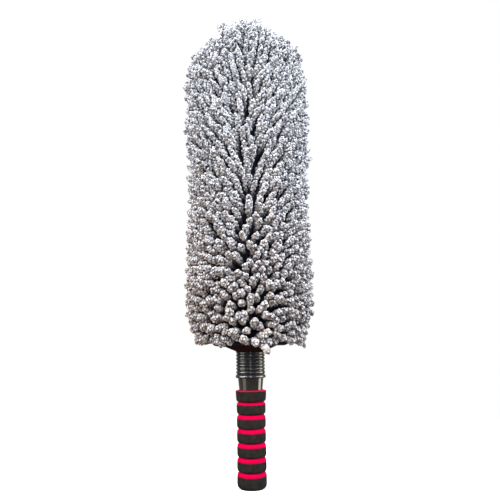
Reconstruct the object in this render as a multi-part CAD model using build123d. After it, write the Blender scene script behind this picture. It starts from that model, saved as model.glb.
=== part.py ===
"""Telescopic car duster: a tufted wash head on a steel pole that slides up inside it, with a foam grip.

Units are millimetres. The origin is the centre of the grip's bottom face and +Z runs along the pole,
from the grip up to the head. The wide side of the oval head lies along X and its front faces -Y.
The brush is built closed: the pole is pushed home and the ribbed collar is tight.
"""

import os

from build123d import *

# ---- driving dimensions --------------------------------------------------------------------------
GRIP_LENGTH = 112.0
GRIP_RADIUS = 18.0
BAND_COUNT = 7
BAND_PITCH = 16.35
GROOVE_WIDTH = 4.9
TOP_GROOVE_WIDTH = 3.3  # the groove under the top band
BAND_SEAT_RADIUS = 15.4  # where the black bands sit on the red foam
GROOVE_ROOT_RADIUS = 16.0
GRIP_SPREAD = 0.5  # how far the top band is stretched over the neck, at its bottom
GRIP_FLARE = 1.1  # and at its top

CORE_RADIUS = 12.5  # the handle core under the foam
CORE_BOTTOM = 2.5
PLUG_DEPTH = 11.5
NECK_START = 92.0  # where the core starts to widen, inside the foam
NECK_FOOT_RADIUS = 14.5  # at the top of the grip
NECK_RADIUS = 16.0
NECK_TAPER_END = 127.2
NECK_TOP = 129.6

POLE_RADIUS = 11.0
POLE_WALL = 0.8
POLE_TOP = 452.0
TRAVEL = 250.0

COLLAR_BOTTOM = 127.3
COLLAR_TOP = 159.4
RIB_COUNT = 7
RIB_PITCH = 4.1
RIB_CREST_RADIUS = 18.3
RIB_VALLEY_RADIUS = 17.0
BELL_RADIUS = 19.0
BELL_HEIGHT = 4.7
BELL_LIP = 1.6  # height of the bell's widest line above its foot
THREAD_RADIUS = 15.3
RUNNING_GAP = 0.08
COLLAR_TRAVEL = 2.0  # how far the collar backs off to free the pole

SPINE_BOTTOM = 138.8
SPINE_RADIUS = 14.2
SPINE_BOSS_RADIUS = 14.9
SPINE_BORE = 11.65
SPINE_TOP = 470.0

HEAD_HALF_WIDTH = 88.0
HEAD_HALF_DEPTH = 76.0
HEAD_BOTTOM = 165.0
HEAD_TOP = 626.0
HEAD_DOME = 75.0
HEAD_FLARE = 105.0  # height over which the pile widens from its flat bottom
HEAD_FLOOR_RADIUS = 62.0
SLEEVE_HALF_WIDTH = 50.0
SLEEVE_HALF_DEPTH = 38.0
SLEEVE_BOTTOM = 166.6
SLEEVE_TOP = 590.0
SLEEVE_DOME = 46.0
SLEEVE_CORNER = 7.0
SLEEVE_THICKNESS = 1.2
MOUTH_RADIUS = 32.0

FRAME_HALF_WIDTH = 38.0
FRAME_THICKNESS = 9.0
FRAME_BAR = 8.0
FRAME_BOTTOM = 182.0
FRAME_TOP = 566.0
HUB_HEIGHTS = (212.0, 300.0, 388.0, 460.0)
HUB_WALL = 2.4
HUB_HALF_HEIGHT = 7.0
TOP_BAR_HEIGHT = 520.0  # the one cross bar without a hub, above the spine
CROSS_BAR = 6.0
SCREWED_HUBS = (HUB_HEIGHTS[0], HUB_HEIGHTS[3])

POLE_BORE = POLE_RADIUS - POLE_WALL
PIN_HEIGHT = 20.0
PIN_RADIUS = 1.6
SCREW_RADIUS = 1.5
SCREW_TIP_RADIUS = 12.3  # screws stop short of the spine's bore
SCREW_HEAD_RADIUS = 2.9
SCREW_HEAD_HEIGHT = 1.9
RING_HEIGHT = 162.0  # bottom of the wiper ring
RING_RADIUS = 12.15
BOSS_TOP = 176.0  # where the spine narrows above its foot
WEB_BOTTOM = 132.2  # the collar's inner web, which pushes the collet
WEB_TOP = 134.2
WASHER_TOP = 135.0
COLLET_FLANGE_TOP = 136.6
COLLET_TOP = 149.0
COLLET_FOOT_RADIUS = 13.9  # the collet's cone, at its flange
COLLET_TIP_RADIUS = 12.4
SLIT_WIDTH = 1.2
SEAT_FOOT_RADIUS = 13.69  # the spine's tapered seat, a hair wider than the collet's cone
SEAT_TOP_RADIUS = 12.45
HEM_RADIUS = 17.2  # the mouth cone's hem, inside its outer cloth


# ---- helpers -------------------------------------------------------------------------------------
def turned(*points):
    """A solid of revolution about Z from the (radius, height) corners of its section."""
    with BuildPart() as made:
        with BuildSketch(Plane.XZ):
            with BuildLine():
                Polyline(*points, close=True)
            make_face()
        revolve(axis=Axis.Z)
    return made.part


def cylinder(radius, bottom, top):
    """A cylinder about Z."""
    return Pos(0, 0, bottom) * Cylinder(radius, top - bottom, align=(Align.CENTER, Align.CENTER, Align.MIN))


def box(x0, x1, y0, y1, z0, z1):
    """A box from its limits along each axis."""
    return Pos((x0 + x1) / 2, (y0 + y1) / 2, (z0 + z1) / 2) * Box(x1 - x0, y1 - y0, z1 - z0)


def cross_rod(radius, y0, y1, height):
    """A round rod along Y at the given height."""
    return Pos(0, (y0 + y1) / 2, height) * Rot(90, 0, 0) * Cylinder(radius, y1 - y0)


def band_span(index):
    """(bottom, top) heights of a black band, counted from the bottom of the grip."""
    top = GRIP_LENGTH - (BAND_COUNT - 1 - index) * BAND_PITCH
    if index == 0:
        return 0.0, top
    groove = GROOVE_WIDTH if index < BAND_COUNT - 1 else TOP_GROOVE_WIDTH
    return top - BAND_PITCH + groove, top


def band_radii(index):
    """(bottom, top) outer radii of a black band. The top one flares over the neck."""
    if index < BAND_COUNT - 1:
        return GRIP_RADIUS, GRIP_RADIUS
    return GRIP_RADIUS + GRIP_SPREAD, GRIP_RADIUS + GRIP_FLARE


def core_outline():
    """The handle core's outer wall from the bottom up, as (radius, height) corners."""
    return [
        (CORE_RADIUS, CORE_BOTTOM),
        (CORE_RADIUS, NECK_START),
        (NECK_FOOT_RADIUS, GRIP_LENGTH),
        (NECK_RADIUS, NECK_TAPER_END),
        (NECK_RADIUS, NECK_TOP - 0.5),
        (NECK_RADIUS - 0.5, NECK_TOP),
    ]


# ---- grip ----------------------------------------------------------------------------------------
LIP = 1.1  # how far the red foam laps up behind the top edge of a band
LIP_EDGE = 0.1
GROOVE_SHOULDER = 0.36  # where the red foam starts to fall away, as a share of the groove's width
GROOVE_ROOT = 0.78  # and where the groove is deepest
GROOVE_SETBACK = 0.4  # how far the shoulder stands in from the band below it
BAND_ROUND = 1.6  # the rounded lower edge of each band
BOTTOM_ROUND = 3.0  # the larger round at the bottom of the grip
BAND_BULGE = 2.6  # radius of the rounded lower edge, flatter than its height
BAND_TOE_RADIUS = 16.1
BOTTOM_TOE_RADIUS = 16.4


def red_foam():
    """The red foam sleeve. Its V grooves show between the black bands."""
    outline = [(CORE_RADIUS, 0.0), (BAND_SEAT_RADIUS, 0.0)]
    for index in range(BAND_COUNT):
        bottom, top = band_span(index)
        outer = band_radii(index)[1]
        if index > 0:
            outline.append((BAND_SEAT_RADIUS, bottom))
        outline.append((BAND_SEAT_RADIUS, top - LIP - LIP_EDGE))
        outline.append((outer - LIP_EDGE, top - LIP_EDGE))
        if index < BAND_COUNT - 1:
            groove = band_span(index + 1)[0] - top
            outline.append((outer - GROOVE_SETBACK, top + GROOVE_SHOULDER * groove))
            outline.append((GROOVE_ROOT_RADIUS, top + GROOVE_ROOT * groove))
    outline.append((NECK_FOOT_RADIUS + 0.3, GRIP_LENGTH + 0.9))
    outline.append((NECK_FOOT_RADIUS, GRIP_LENGTH))
    outline.append((CORE_RADIUS, NECK_START))
    return turned(*outline)


def black_band(index):
    """One black foam band, with a rounded lower edge and its top tucked under the red lip."""
    bottom, top = band_span(index)
    low, high = band_radii(index)
    toe = BOTTOM_TOE_RADIUS if index == 0 else BAND_TOE_RADIUS
    rise = BOTTOM_ROUND if index == 0 else BAND_ROUND
    bulge = BOTTOM_ROUND if index == 0 else BAND_BULGE
    with BuildPart() as made:
        with BuildSketch(Plane.XZ):
            with BuildLine():
                seat = Line((BAND_SEAT_RADIUS, bottom), (toe, bottom))
                arc = RadiusArc(seat @ 1, (low, bottom + rise), -bulge)
                side = Line(arc @ 1, (high, top - LIP_EDGE))
                rim = Line(side @ 1, (high - LIP_EDGE, top - LIP_EDGE))
                tuck = Line(rim @ 1, (BAND_SEAT_RADIUS, top - LIP - LIP_EDGE))
                Line(tuck @ 1, seat @ 0)
            make_face()
        revolve(axis=Axis.Z)
    return made.part


def handle_core():
    """The moulded core under the foam, widening into the glossy neck, bored for the pole."""
    bore = POLE_RADIUS + 0.05
    outline = [(bore, CORE_BOTTOM), *core_outline(), (bore + 0.6, NECK_TOP), (bore, NECK_TOP - 0.6)]
    pin_hole = Pos(0, 0, PIN_HEIGHT) * Rot(0, 90, 0) * Cylinder(PIN_RADIUS, 2 * CORE_RADIUS + 2)
    return turned(*outline) - pin_hole


def end_plug():
    """The plug that closes the bottom of the core and the pole."""
    disc = cylinder(CORE_RADIUS - 0.05, 0.0, CORE_BOTTOM)
    top = CORE_BOTTOM + PLUG_DEPTH
    spigot = cylinder(POLE_BORE - 0.05, CORE_BOTTOM, top) - cylinder(POLE_BORE - 2.0, CORE_BOTTOM, top)
    return disc + spigot


def pole_pin():
    """The steel pin through the core and the pole. The foam covers both its ends."""
    return Pos(0, 0, PIN_HEIGHT) * Rot(0, 90, 0) * Cylinder(PIN_RADIUS, 2 * CORE_RADIUS - 0.2)


def pole():
    """The steel tube, fixed in the handle and stored inside the head."""
    tube = cylinder(POLE_RADIUS, CORE_BOTTOM, POLE_TOP) - cylinder(POLE_BORE, CORE_BOTTOM, POLE_TOP)
    return tube - Pos(0, 0, PIN_HEIGHT) * Rot(0, 90, 0) * Cylinder(PIN_RADIUS, 3 * POLE_RADIUS)


def pole_bush():
    """The nylon guide on the pole's inner end. It meets the spine's shoulder at full length."""
    guide = SPINE_BORE - 0.08
    return turned(
        (POLE_BORE - 2.0, POLE_TOP - 12.0),
        (POLE_BORE - 0.05, POLE_TOP - 12.0),
        (POLE_BORE - 0.05, POLE_TOP),
        (guide, POLE_TOP),
        (guide, POLE_TOP + 8.5),
        (guide - 1.0, POLE_TOP + 9.5),
        (POLE_BORE - 2.0, POLE_TOP + 9.5),
    )


# ---- collar and clamp ----------------------------------------------------------------------------
def ribbed_collar():
    """The clamp nut: round ribs, a bell mouth below, and an inner web that pushes the collet."""
    thread = THREAD_RADIUS + RUNNING_GAP
    pole_hole = POLE_RADIUS + 0.3
    first_valley = COLLAR_BOTTOM + BELL_HEIGHT
    with BuildPart() as made:
        with BuildSketch(Plane.XZ):
            with BuildLine():
                mouth = Polyline(
                    (pole_hole, WEB_TOP),
                    (pole_hole, WEB_BOTTOM),
                    (NECK_RADIUS - 0.6, WEB_BOTTOM),
                    (NECK_RADIUS + 0.35, WEB_BOTTOM - 1.1),
                    (NECK_RADIUS + 0.8, COLLAR_BOTTOM + 0.5),
                    (NECK_RADIUS + 1.2, COLLAR_BOTTOM),
                    (BELL_RADIUS - 1.2, COLLAR_BOTTOM),
                )
                lip = ThreePointArc(
                    mouth @ 1,
                    (BELL_RADIUS - 0.3, COLLAR_BOTTOM + 0.5),
                    (BELL_RADIUS, COLLAR_BOTTOM + BELL_LIP),
                )
                bell = ThreePointArc(
                    lip @ 1,
                    (BELL_RADIUS - 0.65, COLLAR_BOTTOM + 3.3),
                    (RIB_VALLEY_RADIUS, first_valley),
                )
                last = bell
                for rib in range(RIB_COUNT):
                    low = first_valley + rib * RIB_PITCH
                    land = Line(last @ 1, (RIB_VALLEY_RADIUS, low + 0.5)) if rib else None
                    start = land @ 1 if land else last @ 1
                    high = first_valley + (rib + 1) * RIB_PITCH - (0.0 if rib < RIB_COUNT - 1 else 1.3)
                    last = ThreePointArc(
                        start,
                        (RIB_CREST_RADIUS, (start.Y + high) / 2),
                        (RIB_VALLEY_RADIUS, high),
                    )
                Polyline(last @ 1, (thread, (last @ 1).Y), (thread, WEB_TOP), (pole_hole, WEB_TOP))
            make_face()
        revolve(axis=Axis.Z)
    return made.part


def clamp_washer():
    """The slip washer between the turning collar and the collet."""
    disc = cylinder(THREAD_RADIUS - 0.3, WEB_TOP, WASHER_TOP)
    return disc - cylinder(POLE_RADIUS + 0.3, WEB_TOP, WASHER_TOP)


def collet():
    """The split cone that grips the pole when the collar drives it up into the spine."""
    bore = POLE_RADIUS + 0.06
    cone = turned(
        (bore, WASHER_TOP),
        (THREAD_RADIUS - 0.3, WASHER_TOP),
        (THREAD_RADIUS - 0.3, COLLET_FLANGE_TOP),
        (COLLET_FOOT_RADIUS, COLLET_FLANGE_TOP),
        (COLLET_TIP_RADIUS, COLLET_TOP),
        (bore, COLLET_TOP),
    )
    half = SLIT_WIDTH / 2
    for turn in range(4):
        slit = box(POLE_BORE - 2.0, 20.0, -half, half, COLLET_FLANGE_TOP, COLLET_TOP)
        cone -= Rot(0, 0, 45 + 90 * turn) * slit
    return cone - box(0.0, 20.0, -half, half, WASHER_TOP, COLLET_TOP)


def wiper_ring():
    """The rubber ring that keeps water out of the spine."""
    return turned(
        (POLE_RADIUS + 0.03, RING_HEIGHT + 0.6),
        (POLE_RADIUS + 0.5, RING_HEIGHT + 0.05),
        (RING_RADIUS, RING_HEIGHT + 0.05),
        (RING_RADIUS, RING_HEIGHT + 2.35),
        (POLE_RADIUS + 0.5, RING_HEIGHT + 2.35),
        (POLE_RADIUS + 0.03, RING_HEIGHT + 1.8),
    )


# ---- head structure ------------------------------------------------------------------------------
def head_spine():
    """The tube that stores the pole, with the collar's spigot and the collet's seat at its foot."""
    guide = POLE_RADIUS + 0.1
    shoulder = POLE_TOP - TRAVEL - 0.3
    body = turned(
        (SEAT_FOOT_RADIUS, SPINE_BOTTOM),
        (THREAD_RADIUS, SPINE_BOTTOM),
        (THREAD_RADIUS, COLLAR_TOP - 0.6),
        (SPINE_BOSS_RADIUS, COLLAR_TOP - 0.2),
        (SPINE_BOSS_RADIUS, BOSS_TOP),
        (SPINE_RADIUS, BOSS_TOP + 1.0),
        (SPINE_RADIUS, SPINE_TOP),
        (SPINE_BORE, SPINE_TOP),
        (SPINE_BORE, shoulder),
        (guide, shoulder),
        (guide, RING_HEIGHT + 2.4),
        (RING_RADIUS + 0.05, RING_HEIGHT + 2.4),
        (RING_RADIUS + 0.05, RING_HEIGHT),
        (guide, RING_HEIGHT),
        (guide, COLLET_TOP + 1.5),
        (SEAT_TOP_RADIUS, COLLET_TOP + 1.5),
        (SEAT_TOP_RADIUS, COLLET_TOP + 0.1),
    )
    for height in SCREWED_HUBS:
        body -= cross_rod(SCREW_RADIUS, -20.0, -SCREW_TIP_RADIUS, height)
    return body


def spine_cap():
    """The cap on the spine's top end."""
    return turned(
        (0.0, SPINE_TOP - 6.0),
        (SPINE_BORE - 0.05, SPINE_TOP - 6.0),
        (SPINE_BORE - 0.05, SPINE_TOP),
        (SPINE_RADIUS, SPINE_TOP),
        (SPINE_RADIUS, SPINE_TOP + 1.5),
        (SPINE_RADIUS - 1.0, SPINE_TOP + 2.5),
        (0.0, SPINE_TOP + 2.5),
    )


def head_frame():
    """The flat paddle: a rounded loop with cross bars, whose hubs slide over the spine."""
    height = FRAME_TOP - FRAME_BOTTOM
    middle = (FRAME_TOP + FRAME_BOTTOM) / 2
    with BuildPart() as made:
        with BuildSketch(Plane.XZ.offset(-FRAME_THICKNESS / 2)):
            with Locations((0, middle)):
                RectangleRounded(2 * FRAME_HALF_WIDTH, height, FRAME_HALF_WIDTH - 6)
                inner = FRAME_HALF_WIDTH - FRAME_BAR
                RectangleRounded(2 * inner, height - 2 * FRAME_BAR, inner - 4, mode=Mode.SUBTRACT)
            for bar in (*HUB_HEIGHTS, TOP_BAR_HEIGHT):
                with Locations((0, bar)):
                    Rectangle(2 * inner + 2, CROSS_BAR)
        extrude(amount=FRAME_THICKNESS)
    frame = made.part
    for hub in HUB_HEIGHTS:
        frame += cylinder(SPINE_RADIUS + HUB_WALL, hub - HUB_HALF_HEIGHT, hub + HUB_HALF_HEIGHT)
    frame -= cylinder(SPINE_RADIUS + 0.05, FRAME_BOTTOM - 5.0, SPINE_TOP + 4.0)
    for hub in SCREWED_HUBS:
        frame -= cross_rod(SCREW_RADIUS, -20.0, 0.0, hub)
    return frame


def frame_screws():
    """Two screws that hold the frame's end hubs on the spine."""
    outside = SPINE_RADIUS + HUB_WALL
    made = []
    for height in SCREWED_HUBS:
        shank = cross_rod(SCREW_RADIUS, -outside, -SCREW_TIP_RADIUS, height)
        head = cross_rod(SCREW_HEAD_RADIUS, -outside - SCREW_HEAD_HEIGHT, -outside, height)
        slot = box(-3.0, 3.0, -outside - 2.0, -outside - 1.1, height - 0.35, height + 0.35)
        made.append(shank + head - slot - slot.rotate(Axis((0, 0, height), (0, 1, 0)), 90))
    return Compound(children=made)


def oval(outline, half_width, half_depth):
    """Revolves a closed section about Z, then flattens the solid along Y to an oval."""
    with BuildPart() as made:
        with BuildSketch(Plane.XZ):
            with BuildLine():
                outline(half_width)
            make_face()
        revolve(axis=Axis.Z)
    return scale(made.part, by=(1, half_depth / half_width, 1))


def capsule_outline(bottom, top, corner, dome):
    """A drawing function for a rounded cylinder with a domed top."""

    def draw(radius):
        floor = Line((0, bottom), (radius - corner, bottom))
        bend = RadiusArc(floor @ 1, (radius, bottom + corner), -corner)
        Line(bend @ 1, (radius, top - dome))
        cap = EllipticalCenterArc((0, top - dome), radius, dome, arc_size=90)
        Line(cap @ 1, floor @ 0)

    return draw


def pile_outline(radius):
    """The tips of the tufts: drawn in towards a flat bottom, straight sides and a domed top."""
    floor = Line((0, HEAD_BOTTOM), (HEAD_FLOOR_RADIUS, HEAD_BOTTOM))
    flare = EllipticalCenterArc(
        (HEAD_FLOOR_RADIUS, HEAD_BOTTOM + HEAD_FLARE),
        radius - HEAD_FLOOR_RADIUS,
        HEAD_FLARE,
        start_angle=270,
        arc_size=90,
    )
    Line(flare @ 1, (radius, HEAD_TOP - HEAD_DOME))
    cap = EllipticalCenterArc((0, HEAD_TOP - HEAD_DOME), radius, HEAD_DOME, arc_size=90)
    Line(cap @ 1, floor @ 0)


def sleeve_solid(inset):
    """The sleeve's outer body, drawn in by inset on every side."""
    outline = capsule_outline(
        SLEEVE_BOTTOM + inset, SLEEVE_TOP - inset, SLEEVE_CORNER - inset, SLEEVE_DOME - inset
    )
    return oval(outline, SLEEVE_HALF_WIDTH - inset, SLEEVE_HALF_DEPTH - inset)


def tuft_sleeve(body):
    """The sewn sleeve that carries the tufts, open below where the mouth cone joins it."""
    opening = cylinder(MOUTH_RADIUS, SLEEVE_BOTTOM - 1, SLEEVE_BOTTOM + 2 * SLEEVE_THICKNESS)
    return body - sleeve_solid(SLEEVE_THICKNESS) - opening


def foam_pads():
    """The two sponge halves that fill the sleeve, front and back, cut to clear the frame and spine."""
    gap = 0.1
    body = sleeve_solid(SLEEVE_THICKNESS + gap)
    body -= cylinder(SPINE_RADIUS + 3.0, 0.0, SPINE_TOP + 6.0)
    body -= cylinder(22.0, 0.0, BOSS_TOP)
    for height in SCREWED_HUBS:
        body -= cross_rod(SCREW_HEAD_RADIUS + 0.5, -22.0, 0.0, height)
    half = FRAME_THICKNESS / 2 + gap
    reach = 2 * HEAD_HALF_WIDTH
    front = body & box(-reach, reach, -reach, -half, 0.0, HEAD_TOP)
    back = body & box(-reach, reach, half, reach, 0.0, HEAD_TOP)
    return front, back


def mouth_cone():
    """The dark fabric cone that closes the sleeve round the spine's boss, with a hem at its neck."""
    hem = SPINE_BOSS_RADIUS + 0.1
    return turned(
        (hem, COLLAR_TOP + 0.3),
        (HEM_RADIUS + 0.1, COLLAR_TOP + 0.3),
        (HEM_RADIUS + 0.7, COLLAR_TOP + 1.0),
        (MOUTH_RADIUS - 0.1, SLEEVE_BOTTOM - 0.1),
        (MOUTH_RADIUS - 0.1, SLEEVE_BOTTOM + 1.3),
        (HEM_RADIUS + 2.2, COLLAR_TOP + 4.4),
        (HEM_RADIUS, COLLAR_TOP + 4.4),
        (HEM_RADIUS, COLLAR_TOP + 1.6),
        (hem + 0.7, COLLAR_TOP + 1.6),
        (hem + 0.7, COLLAR_TOP + 4.4),
        (hem, COLLAR_TOP + 4.4),
    )


def mouth_elastic():
    """The elastic band in the hem, which pulls the mouth tight on the boss."""
    bottom = COLLAR_TOP + 1.7
    top = COLLAR_TOP + 4.2
    return cylinder(HEM_RADIUS - 0.05, bottom, top) - cylinder(SPINE_BOSS_RADIUS + 0.85, bottom, top)


def pile_halves(sleeve_body):
    """The left and right panels of tufts, which meet in a seam down the front and back."""
    seam = 0.2
    reach = 2 * HEAD_HALF_WIDTH
    body = oval(pile_outline, HEAD_HALF_WIDTH, HEAD_HALF_DEPTH) - sleeve_body
    body -= cylinder(MOUTH_RADIUS + 0.2, 0.0, SLEEVE_BOTTOM + 1.0)
    left = body & box(-reach, -seam / 2, -reach, reach, 0.0, HEAD_TOP + 1)
    right = body & box(seam / 2, reach, -reach, reach, 0.0, HEAD_TOP + 1)
    return left, right


def build():
    """Every sub-part, by the name of its node."""
    parts = {
        "grip_red_foam": red_foam(),
        "handle_core": handle_core(),
        "end_plug": end_plug(),
        "pole_pin": pole_pin(),
        "pole": pole(),
        "pole_bush": pole_bush(),
        "ribbed_collar": ribbed_collar(),
        "clamp_washer": clamp_washer(),
        "collet": collet(),
        "wiper_ring": wiper_ring(),
        "head_spine": head_spine(),
        "spine_cap": spine_cap(),
        "head_frame": head_frame(),
        "frame_screws": frame_screws(),
        "mouth_cone": mouth_cone(),
        "mouth_elastic": mouth_elastic(),
    }
    for index in range(BAND_COUNT):
        parts[f"grip_band_{index + 1}"] = black_band(index)
    sleeve_body = sleeve_solid(0.0)
    parts["tuft_sleeve"] = tuft_sleeve(sleeve_body)
    parts["foam_pad_front"], parts["foam_pad_back"] = foam_pads()
    parts["tuft_pile_left"], parts["tuft_pile_right"] = pile_halves(sleeve_body)
    return parts


os.makedirs("parts", exist_ok=True)
for name, shape in build().items():
    export_step(shape, f"parts/{name}.step")
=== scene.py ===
import math

import bmesh
import bpy
import numpy as np
from mathutils import Matrix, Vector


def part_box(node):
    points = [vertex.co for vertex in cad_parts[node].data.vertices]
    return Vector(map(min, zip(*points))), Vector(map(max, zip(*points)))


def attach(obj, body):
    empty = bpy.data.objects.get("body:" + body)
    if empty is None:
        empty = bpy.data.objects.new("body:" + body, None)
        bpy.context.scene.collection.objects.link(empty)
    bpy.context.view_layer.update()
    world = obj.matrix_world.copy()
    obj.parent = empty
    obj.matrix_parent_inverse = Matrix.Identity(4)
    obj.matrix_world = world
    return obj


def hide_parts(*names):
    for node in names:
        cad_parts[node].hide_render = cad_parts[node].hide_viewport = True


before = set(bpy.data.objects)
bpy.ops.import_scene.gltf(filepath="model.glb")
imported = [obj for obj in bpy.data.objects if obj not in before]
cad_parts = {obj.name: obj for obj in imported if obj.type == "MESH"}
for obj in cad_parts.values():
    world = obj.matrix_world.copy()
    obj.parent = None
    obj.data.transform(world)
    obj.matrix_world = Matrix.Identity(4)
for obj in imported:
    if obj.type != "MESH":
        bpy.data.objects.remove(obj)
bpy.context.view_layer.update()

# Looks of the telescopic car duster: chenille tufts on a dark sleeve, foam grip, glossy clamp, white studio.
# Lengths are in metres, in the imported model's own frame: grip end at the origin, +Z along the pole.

MM = 0.001

# ---- places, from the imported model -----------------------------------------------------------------
SLEEVE_LOW, SLEEVE_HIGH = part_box("tuft_sleeve")
PILE_LOW, PILE_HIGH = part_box("tuft_pile_left")
PILE_TOP = PILE_HIGH[2]
PILE_HALF_WIDTH = -PILE_LOW[0]
PILE_HALF_DEPTH = PILE_HIGH[1]
SLEEVE_HALF_WIDTH = SLEEVE_HIGH[0]
SLEEVE_HALF_DEPTH = SLEEVE_HIGH[1]
SLEEVE_BOTTOM = SLEEVE_LOW[2]
SLEEVE_TOP = SLEEVE_HIGH[2]
SLEEVE_DOME = 46 * MM
SLEEVE_CORNER = 7 * MM
SLEEVE_THICKNESS = 1.2 * MM
MOUTH_RADIUS = 32 * MM
BAND_NAMES = [f"grip_band_{i}" for i in range(1, 8)]


# ---- node helpers ------------------------------------------------------------------------------------
class Nodes:
    """A small builder for one material's node tree."""

    def __init__(self, name):
        self.material = bpy.data.materials.new(name)
        self.material.use_nodes = True
        self.tree = self.material.node_tree
        self.shader = self.tree.nodes["Principled BSDF"]

    def add(self, kind, **settings):
        node = self.tree.nodes.new(kind)
        for key, value in settings.items():
            setattr(node, key, value)
        return node

    def link(self, source, target):
        self.tree.links.new(source, target)

    def set(self, **values):
        for key, value in values.items():
            self.shader.inputs[key.replace("_", " ")].default_value = value

    def place(self):
        """Object coordinates in metres."""
        return self.add("ShaderNodeTexCoord").outputs["Object"]

    def stretched(self, scale):
        """Object coordinates scaled differently along each axis."""
        node = self.add("ShaderNodeMapping")
        node.inputs["Scale"].default_value = scale
        self.link(self.place(), node.inputs["Vector"])
        return node.outputs["Vector"]

    def noise(self, size, detail=3.0, roughness=0.55, vector=None):
        """A noise value whose features are about size metres across."""
        node = self.add("ShaderNodeTexNoise")
        node.inputs["Scale"].default_value = 1.0 / size
        node.inputs["Detail"].default_value = detail
        node.inputs["Roughness"].default_value = roughness
        self.link(vector or self.place(), node.inputs["Vector"])
        return node.outputs["Fac"]

    def cells(self, size, vector=None):
        """Distances from the middles of cells that are about size metres across."""
        node = self.add("ShaderNodeTexVoronoi")
        node.inputs["Scale"].default_value = 1.0 / size
        self.link(vector or self.place(), node.inputs["Vector"])
        return node.outputs["Distance"]

    def spread(self, value, low, high, out_low=0.0, out_high=1.0):
        """A value mapped from one range to another, and held inside it."""
        node = self.add("ShaderNodeMapRange")
        limits = {"From Min": low, "From Max": high, "To Min": out_low, "To Max": out_high}
        for key, number in limits.items():
            node.inputs[key].default_value = number
        self.link(value, node.inputs["Value"])
        return node.outputs["Result"]

    def blend(self, factor, first, second, how="MIX"):
        """A colour between two colours, each a tuple or a socket."""
        node = self.add("ShaderNodeMix", data_type="RGBA", blend_type=how)
        for socket, value in ((node.inputs[0], factor), (node.inputs[6], first), (node.inputs[7], second)):
            if isinstance(value, (int, float)):
                socket.default_value = value
            elif isinstance(value, tuple):
                socket.default_value = (*value, 1.0)
            else:
                self.link(value, socket)
        return node.outputs[2]

    def maths(self, operation, first, second):
        """A sum or product of two values, each a number or a socket."""
        node = self.add("ShaderNodeMath", operation=operation)
        for socket, value in zip(node.inputs, (first, second)):
            if isinstance(value, (int, float)):
                socket.default_value = value
            else:
                self.link(value, socket)
        return node.outputs[0]

    def bump(self, height, distance, strength):
        node = self.add("ShaderNodeBump")
        node.inputs["Distance"].default_value = distance
        node.inputs["Strength"].default_value = strength
        self.link(height, node.inputs["Height"])
        self.link(node.outputs["Normal"], self.shader.inputs["Normal"])

    def colour(self, socket):
        self.link(socket, self.shader.inputs["Base Color"])

    def roughness(self, socket):
        self.link(socket, self.shader.inputs["Roughness"])


# ---- materials ---------------------------------------------------------------------------------------
PAINTED_WARM_BELOW = 0.18  # between these heights the painted light on the pile changes from a warm, dimmer cast below to a cool one above
PAINTED_COOL_ABOVE = 0.42


def chenille():
    """Grey microfibre, pale on the knobs. Painted shade darkens the roots, the creases and the places where
    tufts close in; painted light makes the pile warmer and dimmer low on the head and its shade navy higher
    up.
    """
    n = Nodes("chenille_tufts")
    stored = n.add("ShaderNodeAttribute", attribute_name="tuft")
    parts = n.add("ShaderNodeSeparateColor")
    n.link(stored.outputs["Color"], parts.inputs["Color"])
    knob, along, tone = parts.outputs
    in_the_open = stored.outputs["Alpha"]
    place = n.add("ShaderNodeSeparateXYZ")
    n.link(n.place(), place.inputs[0])
    # height share for the painted light: 0 low on the head, 1 high up
    high = n.spread(place.outputs["Z"], PAINTED_WARM_BELOW, PAINTED_COOL_ABOVE)
    fibres = n.spread(n.noise(0.5 * MM, 4.0, 0.7), 0.3, 0.7, 0.84, 1.08)
    # painted shade: dark specks for the fine creases among the fibres
    painted_crease_specks = n.spread(n.noise(1.8 * MM, 2.0, 0.6), 0.37, 0.46, 0.24, 1.0)
    # painted light: a warm, dimmer cast low on the head, fading out higher up
    painted_warm_light = n.blend(high, (0.84, 0.775, 0.73), (1.0, 1.0, 1.0))
    pale = n.blend(tone, (0.50, 0.50, 0.51), (0.74, 0.735, 0.735))
    for layer in (fibres, painted_crease_specks, painted_warm_light):
        pale = n.blend(1.0, pale, layer, "MULTIPLY")
    # the creases' painted shade, warm low on the head and navy higher up as painted light
    crease = n.blend(high, (0.034, 0.029, 0.034), (0.030, 0.036, 0.074))
    # painted shade in the creases between knobs
    creased = n.blend(n.spread(knob, 0.05, 0.57), crease, pale)
    # painted shade where neighbouring tufts close a point in
    shaded = n.blend(n.spread(in_the_open, 0.10, 0.90), (0.026, 0.031, 0.066), creased)
    # painted shade deep in the pile, towards each tuft's root
    n.colour(n.blend(n.spread(along, 0.30, 0.66), (0.028, 0.029, 0.055), shaded))
    n.set(Roughness=0.95, Sheen_Weight=0.12, Sheen_Roughness=0.6, Specular_IOR_Level=0.08)
    n.bump(n.noise(0.35 * MM, 3.0, 0.75), 0.25 * MM, 0.8)
    return n.material


def backing_fabric():
    """Dark navy knitted backing with a fine loop texture and painted shade between the loops."""
    n = Nodes("backing_knit")
    loops = n.cells(1.3 * MM, n.stretched((1.0, 1.0, 0.7)))
    # painted shade between the loops
    n.colour(n.blend(n.spread(loops, 0.0, 0.8), (0.022, 0.021, 0.034), (0.007, 0.007, 0.012)))
    n.set(Roughness=0.95, Specular_IOR_Level=0.15)
    n.bump(loops, 0.4 * MM, 0.9)
    return n.material


def mouth_fabric():
    """Black woven fabric with a maroon cast, closing the sleeve above the collar."""
    n = Nodes("mouth_cloth")
    weave = n.maths("MULTIPLY", n.cells(0.8 * MM), n.noise(3.0 * MM))
    n.colour(n.blend(n.spread(n.noise(9 * MM), 0.35, 0.65), (0.006, 0.004, 0.004), (0.030, 0.006, 0.005)))
    n.set(Roughness=0.95, Specular_IOR_Level=0.1)
    n.bump(weave, 0.3 * MM, 0.8)
    return n.material


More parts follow.
